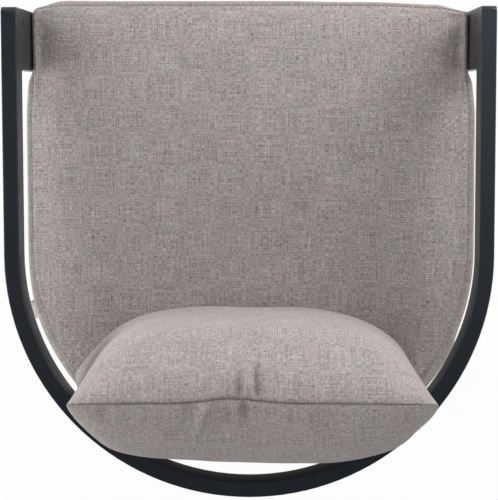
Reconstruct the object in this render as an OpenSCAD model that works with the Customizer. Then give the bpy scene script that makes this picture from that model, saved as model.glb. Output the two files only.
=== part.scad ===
// Rocking chair with a bent arm-and-back rail, seat cushion and back pillow.
// The front of the chair faces -Y and the sitter's left is +X.
// The origin is on the floor, midway between the ends of the rockers.

/* [Arm rail] */
// Width across the outside of the arms
overall_w = 700; // [660:5:740]
// Height of the arm tops above the floor
arm_top = 590; // [560:5:620]
// Distance from the centre of the back curve forward to the fronts of the arms
arm_reach = 354; // [340:2:370]
// Thickness of the bent rail, and of the leg boards under it
rail_t = 22; // [20:1:26]
// Height of the bent rail
rail_h = 53; // [46:1:60]
// Radius on the top front corner of each arm
arm_nose_r = 9; // [6:1:24]

/* [Legs] */
// Width of each front leg board
front_leg_w = 88; // [80:2:96]
// Width of each rear leg board, along the curve
rear_leg_w = 64; // [56:2:72]
// Angle of the rear legs round the back curve, from straight sideways
rear_leg_angle = 48; // [45:1:51]
// Depth of the loose tenons in the arms
tenon_up = 34; // [26:1:38]
// Depth of the loose tenons in the front legs
tenon_down = 46; // [36:1:60]
// Distance of each arm bolt below the arm top
arm_bolt_drop = 70; // [66:1:76]
// Distance of each arm bolt behind the front of the leg
arm_bolt_inset = 21; // [18:1:30]

/* [Rockers] */
// Thickness of each rocker
rocker_t = 26; // [22:1:32]
// Height of each rocker, across its curve
rocker_h = 56; // [48:1:64]
// Radius of the curve that rolls on the floor
rocker_r = 1000; // [900:20:1200]
// Reach of the rockers in front of the centre of the back curve
rocker_front = 370; // [365:5:400]
// Reach of the rockers behind the centre of the back curve
rocker_rear = 395; // [380:5:430]
// Lowest point of the rockers, behind the centre of the back curve
balance_y = 9.5; // [0:0.5:40]
// Diameter of each stretcher
stretcher_d = 24; // [20:1:28]
// Height of the middle of each stretcher
stretcher_z = 190; // [170:5:220]

/* [Seat frame] */
// Height of the top of the slats above the floor
seat_top = 320; // [300:5:340]
// Height of the seat band and of the front seat rail
band_h = 56; // [52:1:64]
// Thickness of the seat band and of the front seat rail
band_t = 22; // [18:1:26]
// Distance of the front seat rail behind the front of the legs
front_rail_setback = 3; // [1:1:6]
// Width of the ledger that carries the slats
ledger_w = 16; // [12:1:20]
// Height of the ledger
ledger_h = 18; // [14:1:20]
// Number of slats
slat_count = 8; // [6:1:9]
// Width of each slat
slat_w = 54; // [40:1:60]
// Thickness of each slat
slat_t = 12; // [10:1:14]

/* [Cushion and pillow] */
// Thickness of the seat cushion
cushion_t = 125; // [100:5:140]
// Reach of the cushion in front of the legs
cushion_overhang = 8; // [2:1:14]
// Radius on the front corners of the cushion
cushion_corner_r = 22; // [10:1:40]
// Width of the pillow
pillow_w = 484; // [440:4:500]
// Height of the pillow
pillow_h = 430; // [380:5:460]
// Thickness of the pillow through its middle
pillow_t = 205; // [160:5:230]
// Gap between the pillow and the rail behind it
pillow_gap = 53.5; // [45:0.5:65]
// Distance of the middle of the pillow towards the sitter's right
pillow_offset = 8; // [0:1:12]
// Thickness of the fabric covers
fabric_t = 2; // [1:0.5:3]

/* [Fasteners] */
// Diameter of the bolts
bolt_d = 8; // [6:1:8]
// Diameter of the bolt heads and the nuts
bolt_head_d = 13; // [11:1:14]
// Height of the bolt heads
bolt_head_h = 7; // [6:0.5:7]
// Diameter of the dowels in the arms and the front seat rail
dowel_d = 10; // [8:1:10]
// Diameter of the slat screws
screw_d = 4; // [3:0.5:5]

/* [Hidden] */
$fn = 96;
rolling_fn = 720;

// Clearances: between loose pieces, round a bolt, under sewn-on tape, and past a cut face
soft_gap = 0.3;
bolt_gap = 0.2;
tape_gap = 0.1;
cut = 1;

// Radii of the bent rail in plan
out_r = overall_w / 2;
in_r = out_r - rail_t;
mid_r = out_r - rail_t / 2;

// Centre of the back curve, so that the rockers' ends are the same distance away
curve_y = (rocker_front - rocker_rear) / 2;

// Leg centres in plan, measured from the centre of the back curve
front_leg_y = -arm_reach + front_leg_w / 2;
rear_leg_x = mid_r * cos(rear_leg_angle);
rear_leg_y = mid_r * sin(rear_leg_angle);
leg_top = arm_top - rail_h;

// The rockers run straight from under the front legs to under the rear legs
toe_in = atan((mid_r - rear_leg_x) / (rear_leg_y - front_leg_y));
tip_arc = rocker_r - rocker_h / 2;
front_tip_angle = asin((balance_y + rocker_front - rocker_h / 2) / tip_arc);
rear_tip_angle = asin((rocker_rear - balance_y - rocker_h / 2) / tip_arc);

// Joinery of the arms and the legs
tenon_t = rail_t - 2 * bolt_head_h - 1;
tenon_shoulder = 8;
tenon_w = front_leg_w - 2 * tenon_shoulder;
arm_bolt_y = -arm_reach + arm_bolt_inset;
arm_bolt_z = arm_top - arm_bolt_drop;
rear_dowel_spread = 32;
rear_dowel_l = 60;
rocker_dowel_d = 12;
rocker_dowel_l = 60;
rocker_dowel_spread = 44;
dowel_sites = [[0, -rocker_dowel_spread / 2], [0, rocker_dowel_spread / 2], [1, 0]];
stretcher_tenon_d = 2 * stretcher_d / 3;
stretcher_tenon_l = 16;

// Seat frame in plan and in height
band_in_r = in_r - band_t;
ledger_in_r = band_in_r - ledger_w;
band_bottom = seat_top - band_h;
ledger_top = seat_top - slat_t;
front_rail_back = -arm_reach + front_rail_setback + band_t;
rail_dowel_l = 32;
rail_dowel_spread = 28;
rail_dowel_in_band = 12;

// Bolts that hold the seat band inside the legs
nut_h = 6.5;
bolt_edge = 14;
bolt_rear_edge = 18;
band_bolt_z = band_bottom + bolt_edge;
front_bolt_ys = [front_rail_back + bolt_edge, -arm_reach + front_leg_w - bolt_rear_edge];
rear_bolt_turns = [-2.4, 2.4];
bolt_tail = 3;

// Slats, evenly spread behind the front seat rail
slat_margin = 4;
slat_span = band_in_r - front_rail_back - 2 * slat_margin;
slat_pitch = slat_span / slat_count;
screw_head_d = 2 * screw_d;
screw_bite = 14;
screw_l = slat_t + screw_bite;

// Cushion and pillow
cushion_r = in_r - 2;
cushion_reach = arm_reach + cushion_overhang;
cushion_bottom = seat_top + soft_gap;
cushion_top = cushion_bottom + cushion_t;
pillow_bottom = cushion_top + soft_gap;
pillow_y = in_r - pillow_gap - pillow_t / 2;
pillow_flat = 20;
zip_h = 8;
zip_t = 0.6 * fabric_t;
zip_arc = 70;
tie_w = 26;
tie_t = 1.2;
tie_l = 60;
tie_drop = 12;
left_tie_angle = 17;
right_tie_angle = 28;

WOOD = [0.13, 0.14, 0.16];
STEEL = [0.62, 0.63, 0.65];
BEECH = [0.74, 0.6, 0.44];
FABRIC = [0.66, 0.64, 0.62];
FILL = [0.93, 0.92, 0.88];

// ---------- shared shapes ----------

// Moves a shape drawn round the back curve's centre into place
module at_curve() {
    translate([0, curve_y, 0]) children();
}

// Draws a shape on the sitter's left, mirrored for the right
module on_side(side) {
    at_curve() mirror([side > 0 ? 0 : 1, 0, 0]) children();
}

// Half a disc behind the centre, with straight sides running forward
module u_plan(r, reach) {
    intersection() {
        circle(r);
        translate([-r, 0]) square([2 * r, r]);
    }
    if (reach > 0) translate([-r, -reach]) square([2 * r, reach]);
}

// A bent strip that follows the back curve and both sides
module u_band(outer, inner, reach, bottom, height) {
    translate([0, 0, bottom]) linear_extrude(height) difference() {
        u_plan(outer, reach);
        u_plan(inner, reach + cut);
    }
}

// The U plan with rounded front corners
module cushion_plan(r, reach, corner) {
    u_plan(r, reach - corner);
    translate([corner - r, -reach]) square([2 * (r - corner), corner + cut]);
    for (x = [corner - r, r - corner])
        translate([x, corner - reach]) circle(corner);
}

// A rod along X
module rod_x(d, from, to) {
    translate([from, 0, 0]) rotate([0, 90, 0]) cylinder(d = d, h = to - from);
}

// A box centred on X and Y, standing on z = 0
module post(x, y, z) {
    translate([-x / 2, -y / 2, 0]) cube([x, y, z]);
}

// ---------- rockers ----------

// A cylinder across the chair that shares the rockers' centre of curvature
module rolling_cylinder(r) {
    translate([0, balance_y, rocker_r])
        rod_x(2 * r, -out_r - rail_t, out_r + rail_t, $fn = rolling_fn);
}

// Height of the rockers' upper edge at a distance behind the curve's centre
function rocker_top(y) = rocker_r - sqrt(pow(rocker_r - rocker_h, 2) - pow(y - balance_y, 2));

// Place on the rocker's middle line, a distance along it from a leg
function rocker_point(leg, along) = [
    (leg == 0 ? mid_r : rear_leg_x) - along * sin(toe_in),
    (leg == 0 ? front_leg_y : rear_leg_y) + along * cos(toe_in)];

module rocker_profile() {
    translate([balance_y, rocker_r]) {
        intersection() {
            difference() {
                circle(rocker_r, $fn = rolling_fn);
                circle(rocker_r - rocker_h, $fn = rolling_fn);
            }
            polygon([
                [0, 0],
                2 * rocker_r * [-sin(front_tip_angle), -cos(front_tip_angle)],
                2 * rocker_r * [sin(rear_tip_angle), -cos(rear_tip_angle)]]);
        }
        for (angle = [-front_tip_angle, rear_tip_angle])
            translate(tip_arc * [sin(angle), -cos(angle)]) circle(d = rocker_h);
    }
}

module rocker_dowel_set() {
    for (site = dowel_sites) {
        point = rocker_point(site[0], site[1]);
        translate([point[0], point[1], rocker_top(point[1]) - rocker_dowel_l / 2])
            cylinder(d = rocker_dowel_d, h = rocker_dowel_l);
    }
}

module rocker(side) {
    color(WOOD) on_side(side) difference() {
        intersection() {
            rotate([90, 0, 90]) linear_extrude(overall_w) rocker_profile();
            translate([mid_r, front_leg_y, 0]) rotate([0, 0, toe_in])
                translate([0, 0, -cut]) post(rocker_t, 4 * rocker_rear, arm_top);
        }
        rocker_dowel_set();
    }
}

module rocker_dowels() {
    color(BEECH) for (side = [1, -1]) on_side(side) rocker_dowel_set();
}

// ---------- legs and stretchers ----------

// Cap-head bolt along X from the outer face of a leg inwards
module band_bolt() {
    difference() {
        union() {
            rod_x(bolt_head_d, out_r - bolt_head_h, out_r);
            rod_x(bolt_d, band_in_r - nut_h - bolt_tail, out_r - bolt_head_h);
        }
        rod_x(bolt_d - 2, out_r - bolt_head_h / 2, out_r + cut, $fn = 6);
    }
}

module band_bolt_hole() {
    rod_x(bolt_head_d + 2 * bolt_gap, out_r - bolt_head_h, out_r + cut);
    rod_x(bolt_d + 2 * bolt_gap, ledger_in_r, out_r);
}

// Places something at each bolt of the seat band on one side
module at_band_bolts() {
    for (y = front_bolt_ys) translate([0, y, band_bolt_z]) children();
    for (turn = rear_bolt_turns)
        rotate([0, 0, rear_leg_angle + turn]) translate([0, 0, band_bolt_z]) children();
}

module band_bolts() {
    color(STEEL) for (side = [1, -1]) on_side(side) at_band_bolts() band_bolt();
}

module band_bolt_nuts() {
    color(STEEL) for (side = [1, -1]) on_side(side) at_band_bolts() difference() {
        rod_x(bolt_head_d, band_in_r - nut_h, band_in_r - bolt_gap, $fn = 6);
        rod_x(bolt_d + 2 * bolt_gap, ledger_in_r, in_r);
    }
}

// Loose tenon between an arm and its front leg, crossed by the arm bolt
module arm_tenon_blank() {
    translate([mid_r, front_leg_y, leg_top - tenon_down])
        post(tenon_t, tenon_w, tenon_up + tenon_down);
}

module arm_bolt_hole() {
    translate([0, arm_bolt_y, arm_bolt_z]) {
        rod_x(bolt_d + 2 * bolt_gap, in_r - cut, out_r + cut);
        rod_x(bolt_head_d + 2 * bolt_gap, in_r - cut, in_r + bolt_head_h);
        rod_x(bolt_head_d + 2 * bolt_gap, out_r - bolt_head_h, out_r + cut);
    }
}

module arm_tenon(side) {
    color(BEECH) on_side(side) difference() {
        arm_tenon_blank();
        arm_bolt_hole();
    }
}

module arm_bolts() {
    color(STEEL) for (side = [1, -1]) on_side(side)
        translate([0, arm_bolt_y, arm_bolt_z]) difference() {
            union() {
                rod_x(bolt_head_d, in_r + 0.5, in_r + bolt_head_h);
                rod_x(bolt_d, in_r + bolt_head_h, out_r - 2);
            }
            rod_x(bolt_d - 2, in_r - cut, in_r + bolt_head_h / 2, $fn = 6);
        }
}

module arm_bolt_nuts() {
    color(STEEL) for (side = [1, -1]) on_side(side)
        translate([0, arm_bolt_y, arm_bolt_z]) difference() {
            rod_x(bolt_head_d, out_r - bolt_head_h, out_r - 0.5);
            rod_x(bolt_d + 2 * bolt_gap, in_r, out_r - 1.5);
        }
}

module front_leg(side) {
    color(WOOD) on_side(side) difference() {
        intersection() {
            translate([in_r, -arm_reach, 0]) cube([rail_t, front_leg_w, leg_top]);
            rolling_cylinder(rocker_r - rocker_h);
        }
        arm_tenon_blank();
        arm_bolt_hole();
        rocker_dowel_set();
        at_band_bolts() band_bolt_hole();
        stretcher_blank(front_leg_y, stretcher_tenon_d, stretcher_tenon_l);
    }
}

module rear_dowel_pair() {
    for (side = [-1, 1])
        rotate([0, 0, rear_leg_angle]) translate([
            mid_r,
            side * rear_dowel_spread / 2,
            leg_top - rear_dowel_l / 2]) cylinder(d = dowel_d, h = rear_dowel_l);
}

module rear_leg(side) {
    color(WOOD) on_side(side) difference() {
        intersection() {
            u_band(out_r, in_r, arm_reach, 0, leg_top);
            rotate([0, 0, rear_leg_angle])
                translate([mid_r, 0, 0]) post(4 * rail_t, rear_leg_w, leg_top);
            rolling_cylinder(rocker_r - rocker_h);
        }
        rear_dowel_pair();
        rocker_dowel_set();
        at_band_bolts() band_bolt_hole();
        stretcher_blank(rear_leg_y, stretcher_tenon_d, stretcher_tenon_l);
    }
}

module rear_leg_dowels() {
    color(BEECH) for (side = [1, -1]) on_side(side) rear_dowel_pair();
}

// Round bar across the chair that ends a given depth inside the legs
module stretcher_blank(y, d, depth) {
    reach = (y < 0 ? in_r : sqrt(in_r * in_r - y * y)) + depth;
    translate([0, y, stretcher_z]) rod_x(d, -reach, reach);
}

module stretcher(y) {
    color(WOOD) at_curve() {
        intersection() {
            stretcher_blank(y, stretcher_d, rail_t);
            linear_extrude(arm_top) u_plan(in_r, arm_reach);
        }
        stretcher_blank(y, stretcher_tenon_d, stretcher_tenon_l);
    }
}

// ---------- arm rail ----------

module arm_rail() {
    color(WOOD) difference() {
        at_curve() u_band(out_r, in_r, arm_reach, leg_top, rail_h);
        for (side = [1, -1]) on_side(side) {
            arm_tenon_blank();
            rear_dowel_pair();
        }
        at_curve() translate([0, -arm_reach, arm_top]) difference() {
            translate([-out_r - cut, -cut, -arm_nose_r])
                cube([overall_w + 2 * cut, arm_nose_r + cut, arm_nose_r + cut]);
            translate([0, arm_nose_r, -arm_nose_r]) rod_x(2 * arm_nose_r, -overall_w, overall_w);
        }
    }
}

// ---------- seat frame ----------

module rail_dowel_set() {
    for (side = [-1, 1])
        translate([
            0,
            front_rail_back - band_t / 2,
            seat_top - band_h / 2 + side * rail_dowel_spread / 2])
            rod_x(dowel_d, band_in_r + rail_dowel_in_band - rail_dowel_l, band_in_r + rail_dowel_in_band);
}

module seat_band() {
    color(WOOD) difference() {
        at_curve() u_band(in_r, band_in_r, arm_reach, band_bottom, band_h);
        for (side = [1, -1]) on_side(side) {
            rail_dowel_set();
            at_band_bolts() band_bolt_hole();
        }
    }
}

module front_seat_rail() {
    color(WOOD) difference() {
        at_curve() translate([0, front_rail_back - band_t / 2, band_bottom])
            post(2 * band_in_r, band_t, band_h);
        for (side = [1, -1]) on_side(side) rail_dowel_set();
    }
}

module front_rail_dowels() {
    color(BEECH) for (side = [1, -1]) on_side(side) rail_dowel_set();
}

// Distance of the first slat's middle, and of each later one, from the curve's centre
function slat_y(i) = front_rail_back + slat_margin + slat_pitch * (i - 0.5);

// Half the width of the seat, on the ledger's middle line, at a distance behind the centre
function ledger_x(y) = y < 0 ? band_in_r - ledger_w / 2 : sqrt(pow(band_in_r - ledger_w / 2, 2) - y * y);

module slat_screw(d, head_d) {
    translate([0, 0, seat_top - screw_l]) cylinder(d = d, h = screw_l);
    translate([0, 0, seat_top - screw_d / 2]) cylinder(d = head_d, h = screw_d / 2);
}

module at_slat_screws() {
    for (i = [1:slat_count], side = [-1, 1])
        translate([side * ledger_x(slat_y(i)), slat_y(i), 0]) children();
}

module seat_ledger() {
    color(BEECH) at_curve() difference() {
        u_band(band_in_r, ledger_in_r, -front_rail_back, ledger_top - ledger_h, ledger_h);
        at_slat_screws() slat_screw(screw_d, screw_head_d);
    }
}

module seat_slat(i) {
    color(BEECH) at_curve() difference() {
        translate([0, 0, ledger_top]) linear_extrude(slat_t) intersection() {
            u_plan(band_in_r, arm_reach);
            translate([-band_in_r, slat_y(i) - slat_w / 2]) square([2 * band_in_r, slat_w]);
        }
        at_slat_screws() slat_screw(screw_d, screw_head_d);
    }
}

module slat_screws() {
    color(STEEL) at_curve() at_slat_screws() slat_screw(screw_d, screw_head_d);
}

// ---------- seat cushion ----------

// The cushion's shape, a given depth inside the cover
module cushion_solid(inset) {
    at_curve() translate([0, 0, cushion_bottom + inset])
        linear_extrude(cushion_t - 2 * inset)
            cushion_plan(cushion_r - inset, cushion_reach - inset, cushion_corner_r - inset);
}

module cushion_cover() {
    color(FABRIC) difference() {
        cushion_solid(0);
        cushion_solid(fabric_t);
    }
}

module cushion_foam() {
    color(FILL) cushion_solid(fabric_t);
}

// Part of a ring round the cushion, centred on an angle from straight sideways
module cushion_patch(angle, width, thick, bottom, height) {
    at_curve() intersection() {
        u_band(cushion_r + thick, cushion_r + tape_gap, 0, bottom, height);
        rotate([0, 0, angle]) translate([0, -width / 2, bottom - cut])
            cube([overall_w, width, height + 2 * cut]);
    }
}

module cushion_zip() {
    zip_w = 2 * cushion_r * sin(zip_arc / 2);
    color(FABRIC) cushion_patch(90, zip_w, zip_t, cushion_bottom + cushion_t / 2 - zip_h / 2, zip_h);
}

module cushion_tie(angle) {
    color(FABRIC) cushion_patch(angle, tie_w, tie_t, cushion_top - tie_drop - tie_l, tie_l);
}

// ---------- back pillow ----------

// Radius of the arc over a chord that rises by a given height
function arc_radius(half_chord, rise) = (half_chord * half_chord + rise * rise) / (2 * rise);

// Two equal arcs that meet in points at their ends
module lens(half_chord, rise) {
    r = arc_radius(half_chord, rise);
    intersection() {
        translate([0, rise - r]) circle(r);
        translate([0, r - rise]) circle(r);
    }
}

// The pillow's shape, a given depth inside the cover, cut flat where it stands
module pillow_solid(inset) {
    half_w = pillow_w / 2 - inset;
    half_h = (pillow_h + pillow_flat) / 2 - inset;
    half_t = pillow_t / 2 - inset;
    middle = pillow_bottom + pillow_h - half_h - inset;
    translate([-pillow_offset, curve_y + pillow_y, 0]) intersection() {
        translate([0, 0, pillow_bottom]) linear_extrude(pillow_h) lens(half_w, half_t);
        translate([-half_w, 0, middle]) rotate([90, 0, 90])
            linear_extrude(2 * half_w) rotate([0, 0, 90]) lens(half_h, half_t);
        translate([0, 0, pillow_bottom + inset]) post(pillow_w, pillow_w, pillow_h);
    }
}

module pillow_zip_strip() {
    translate([-pillow_offset, curve_y + pillow_y, pillow_bottom])
        post(pillow_w / 2, zip_h, zip_t);
}

module pillow_cover() {
    color(FABRIC) difference() {
        pillow_solid(0);
        pillow_solid(fabric_t);
        pillow_zip_strip();
    }
}

module pillow_fill() {
    color(FILL) pillow_solid(fabric_t);
}

module pillow_zip() {
    color(FABRIC) pillow_zip_strip();
}

arm_rail();
front_leg(1);  // left_front_leg
front_leg(-1);  // right_front_leg
rear_leg(1);  // left_rear_leg
rear_leg(-1);  // right_rear_leg
rocker(1);  // left_rocker
rocker(-1);  // right_rocker
stretcher(front_leg_y);  // front_stretcher
stretcher(rear_leg_y);  // rear_stretcher
arm_tenon(1);  // left_arm_tenon
arm_tenon(-1);  // right_arm_tenon
arm_bolts();
arm_bolt_nuts();
rear_leg_dowels();
rocker_dowels();
seat_band();
front_seat_rail();
front_rail_dowels();
seat_ledger();
band_bolts();
band_bolt_nuts();
slat_screws();
for (i = [1:slat_count])
    seat_slat(i);
cushion_cover();
cushion_foam();
cushion_zip();
cushion_tie(left_tie_angle);  // left_cushion_tie
cushion_tie(180 - right_tie_angle);  // right_cushion_tie
pillow_cover();
pillow_fill();
pillow_zip();
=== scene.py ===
import math

import bpy
import numpy as np
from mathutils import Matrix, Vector, noise
from mathutils.bvhtree import BVHTree
from mathutils.geometry import delaunay_2d_cdt


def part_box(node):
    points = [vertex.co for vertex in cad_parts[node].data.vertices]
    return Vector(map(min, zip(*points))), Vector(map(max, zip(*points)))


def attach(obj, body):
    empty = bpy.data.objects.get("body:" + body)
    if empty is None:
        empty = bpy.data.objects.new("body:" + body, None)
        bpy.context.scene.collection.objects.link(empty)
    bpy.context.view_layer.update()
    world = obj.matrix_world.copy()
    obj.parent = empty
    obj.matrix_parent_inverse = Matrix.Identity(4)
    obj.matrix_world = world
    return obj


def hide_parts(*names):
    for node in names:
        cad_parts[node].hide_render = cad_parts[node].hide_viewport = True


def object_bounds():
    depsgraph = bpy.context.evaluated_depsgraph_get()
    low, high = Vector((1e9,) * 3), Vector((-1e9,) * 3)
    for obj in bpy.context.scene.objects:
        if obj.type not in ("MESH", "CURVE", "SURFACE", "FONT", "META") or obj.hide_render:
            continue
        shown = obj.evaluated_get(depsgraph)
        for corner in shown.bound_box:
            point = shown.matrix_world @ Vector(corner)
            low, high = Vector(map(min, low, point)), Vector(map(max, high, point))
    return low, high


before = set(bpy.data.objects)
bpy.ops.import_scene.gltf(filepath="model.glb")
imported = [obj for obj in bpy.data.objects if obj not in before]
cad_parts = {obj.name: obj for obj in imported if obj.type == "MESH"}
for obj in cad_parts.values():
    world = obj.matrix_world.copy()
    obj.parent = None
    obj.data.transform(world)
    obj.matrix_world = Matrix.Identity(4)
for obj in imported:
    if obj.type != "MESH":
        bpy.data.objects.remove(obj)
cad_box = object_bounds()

# ---------- black frame ----------
# Arms and back are one bent beech band, with four legs, two rockers, two stretchers and the seat
# band under it. All of it is sanded, doweled and glued, then sprayed with a satin black lacquer.

PAINTED = [
    "arm_rail", "left_front_leg", "right_front_leg", "left_rear_leg", "right_rear_leg",
    "left_rocker", "right_rocker", "front_stretcher", "rear_stretcher", "seat_band",
    "front_seat_rail"]
SANDED_RADIUS = 0.0016     # what sanding leaves on an arris before spraying
HAIRLINE_SHARE = 0.15      # share of that radius at a glued joint
LACQUER = (0.0040, 0.0055, 0.0085, 1)
LACQUER_RUBBED = (0.009, 0.0105, 0.014, 1)
LACQUER_TINT = (0.78, 0.88, 1.0, 1)
PEEL_DEPTH = 0.00006
WELD_REACH = 0.00001
JOINT_REACH = 0.0004       # how near an edge is to the glued joint under the rail to be on it
SHARP_ANGLE = 0.5          # radians between faces, from which an edge is an arris


def fill_sockets(tree, node, sockets):
    """Sets a node's inputs from a dict of name or number to a value or another node's output."""
    for key, value in sockets.items():
        if isinstance(value, bpy.types.NodeSocket):
            tree.links.new(value, node.inputs[key])
        else:
            node.inputs[key].default_value = value


def add_node(tree, kind, sockets=None, **settings):
    """Puts a node with its settings and its sockets' values or links in a tree."""
    made = tree.nodes.new(kind)
    for name, value in settings.items():
        setattr(made, name, value)
    fill_sockets(tree, made, sockets or {})
    return made


def calculate(tree, operation, *values, clamp=False):
    """A Math node on values or outputs, as its output."""
    made = add_node(tree, "ShaderNodeMath", dict(enumerate(values)), operation=operation)
    made.use_clamp = clamp
    return made.outputs[0]


def stretched(tree, vector, by):
    """A vector output multiplied along each axis."""
    return add_node(
        tree, "ShaderNodeVectorMath", {0: vector, 1: by}, operation="MULTIPLY").outputs[0]


def grain_noise(tree, vector, scale, detail=2.0, rough=0.5):
    """The value of a noise texture at a vector output."""
    return add_node(tree, "ShaderNodeTexNoise", {
        "Vector": vector, "Scale": scale, "Detail": detail, "Roughness": rough}).outputs["Fac"]


def blend_colour(tree, factor, first, second, kind="MIX"):
    """A Mix node on two colours, as its output."""
    made = add_node(
        tree, "ShaderNodeMix", {0: factor, 6: first, 7: second}, data_type="RGBA", blend_type=kind)
    return made.outputs[2]


def effect_group(name, inputs, outputs):
    """A shader node group, with its input and output nodes. Inputs are (name, kind, value)."""
    tree = bpy.data.node_groups.new(name, "ShaderNodeTree")
    for label, kind, value in inputs:
        socket = tree.interface.new_socket(label, in_out="INPUT", socket_type=kind)
        socket.default_value = value
    for label, kind in outputs:
        tree.interface.new_socket(label, in_out="OUTPUT", socket_type=kind)
    return tree, tree.nodes.new("NodeGroupInput"), tree.nodes.new("NodeGroupOutput")


def new_finish(name, values):
    """A material and its Principled shader, with the shader's values set from a dict."""
    made = bpy.data.materials.new(name)
    made.use_nodes = True
    shader = made.node_tree.nodes["Principled BSDF"]
    fill_sockets(made.node_tree, shader, values)
    return made, shader


def use_effect(material, shader, group, values, bump_depth=0.0):
    """Gives a shader the colour, roughness and height of an effect group with its own values."""
    tree = material.node_tree
    effect = add_node(tree, "ShaderNodeGroup", values, node_tree=group).outputs
    tree.links.new(effect["Color"], shader.inputs["Base Color"])
    if "Roughness" in effect:
        tree.links.new(effect["Roughness"], shader.inputs["Roughness"])
    if bump_depth:
        raised = add_node(tree, "ShaderNodeBump", {
            "Height": effect["Height"], "Distance": bump_depth})
        tree.links.new(raised.outputs[0], shader.inputs["Normal"])


def object_place(tree):
    """Where a point is on its piece."""
    return tree.nodes.new("ShaderNodeTexCoord").outputs["Object"]


# Sprayed film: faint orange peel, and soft patches that handling has polished
spray, spray_in, spray_out = effect_group(
    "sprayed_film",
    [("Peel Size", "NodeSocketFloat", 0.004), ("Rub", "NodeSocketFloat", 0.5),
     ("Film", "NodeSocketColor", LACQUER), ("Rubbed", "NodeSocketColor", LACQUER_RUBBED),
     ("Matte", "NodeSocketFloat", 0.4)],
    [("Color", "NodeSocketColor"), ("Roughness", "NodeSocketFloat"),
     ("Height", "NodeSocketFloat")])
place = object_place(spray)
peel_scale = calculate(spray, "DIVIDE", 1.0, spray_in.outputs["Peel Size"])
peel = grain_noise(spray, place, peel_scale, 1.0)
pores = grain_noise(spray, stretched(spray, place, (1, 1, 0.25)), 900.0, 2.0, 0.7)
patches = grain_noise(spray, place, 9.0, 3.0, 0.6)
dust = calculate(spray, "GREATER_THAN", grain_noise(spray, place, 520.0, 0.0), 0.80)
rubbing = calculate(spray, "MULTIPLY", patches, spray_in.outputs["Rub"], clamp=True)
matte = calculate(spray, "MULTIPLY_ADD", patches, 0.12, spray_in.outputs["Matte"])
film = calculate(spray, "MULTIPLY_ADD", pores, 0.35, peel)
fill_sockets(spray, spray_out, {
    "Color": blend_colour(
        spray, rubbing, spray_in.outputs["Film"], spray_in.outputs["Rubbed"]),
    "Roughness": calculate(spray, "SUBTRACT", matte, 0.06),
    "Height": calculate(spray, "MULTIPLY_ADD", dust, 0.5, film)})

lacquer, shader = new_finish("satin_black_lacquer", {"IOR": 1.5, "Specular Tint": LACQUER_TINT})
use_effect(
    lacquer, shader, spray, {"Peel Size": 0.0045, "Rub": 0.45, "Matte": 0.36}, PEEL_DEPTH)


def arris_weights(joint_height):
    """Geometry nodes that weld a node's faces and mark its arrises for the bevel."""
    nodes = bpy.data.node_groups.new("sanded_arrises", "GeometryNodeTree")
    nodes.interface.new_socket("Geometry", in_out="INPUT", socket_type="NodeSocketGeometry")
    nodes.interface.new_socket("Geometry", in_out="OUTPUT", socket_type="NodeSocketGeometry")
    start = nodes.nodes.new("NodeGroupInput")
    end = nodes.nodes.new("NodeGroupOutput")
    weld = add_node(nodes, "GeometryNodeMergeByDistance", {
        "Geometry": start.outputs[0], "Distance": WELD_REACH})
    angle = nodes.nodes.new("GeometryNodeInputMeshEdgeAngle").outputs[0]
    height = add_node(nodes, "ShaderNodeSeparateXYZ", {
        0: nodes.nodes.new("GeometryNodeInputPosition").outputs[0]}).outputs["Z"]
    off_joint = calculate(
        nodes, "GREATER_THAN",
        calculate(nodes, "ABSOLUTE", calculate(nodes, "SUBTRACT", height, joint_height)),
        JOINT_REACH)
    share = calculate(nodes, "MAXIMUM", off_joint, HAIRLINE_SHARE)
    sharp = calculate(nodes, "GREATER_THAN", angle, SHARP_ANGLE)
    mark = add_node(nodes, "GeometryNodeStoreNamedAttribute", {
        "Geometry": weld.outputs[0], "Name": "bevel_weight_edge",
        "Value": calculate(nodes, "MULTIPLY", share, sharp)}, domain="EDGE", data_type="FLOAT")
    nodes.links.new(mark.outputs[0], end.inputs[0])
    return nodes


def soften_arrises(node, nodes, radius, material):
    """Rounds the edges of a CAD node with modifiers, and gives it its finish."""
    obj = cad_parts[node]
    obj.modifiers.new("weld", "NODES").node_group = nodes
    flat = obj.modifiers.new("flat", "DECIMATE")
    flat.decimate_type = "DISSOLVE"
    flat.angle_limit = math.radians(0.4)
    flat.delimit = {"SHARP"}
    round_over = obj.modifiers.new("round", "BEVEL")
    round_over.limit_method = "WEIGHT"
    round_over.width = radius
    round_over.segments = 3
    round_over.use_clamp_overlap = False
    round_over.harden_normals = True
    for material_slot in obj.material_slots:
        material_slot.material = material


joint_arrises = arris_weights(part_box("arm_rail")[0].z)
for node in PAINTED:
    soften_arrises(node, joint_arrises, SANDED_RADIUS, lacquer)

# ---------- bare beech under the seat ----------
# Eight slats are screwed to a ledger glued inside the seat band, and tenons and dowels join the
# frame. This wood is planed and sanded beech with a thin matt oil, and the lacquer stops short.

BARE = (
    ["seat_ledger", "left_arm_tenon", "right_arm_tenon", "rear_leg_dowels", "rocker_dowels",
     "front_rail_dowels"] + [f"seat_slat_{number}" for number in range(1, 9)])
BEECH_PALE = (0.60, 0.42, 0.26, 1)
BEECH_DARK = (0.42, 0.25, 0.13, 1)
BEECH_FLECK = (0.30, 0.16, 0.08, 1)
GRAIN_DEPTH = 0.0001
SLAT_RADIUS = 0.0008       # of the planed wood's arrises

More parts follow.
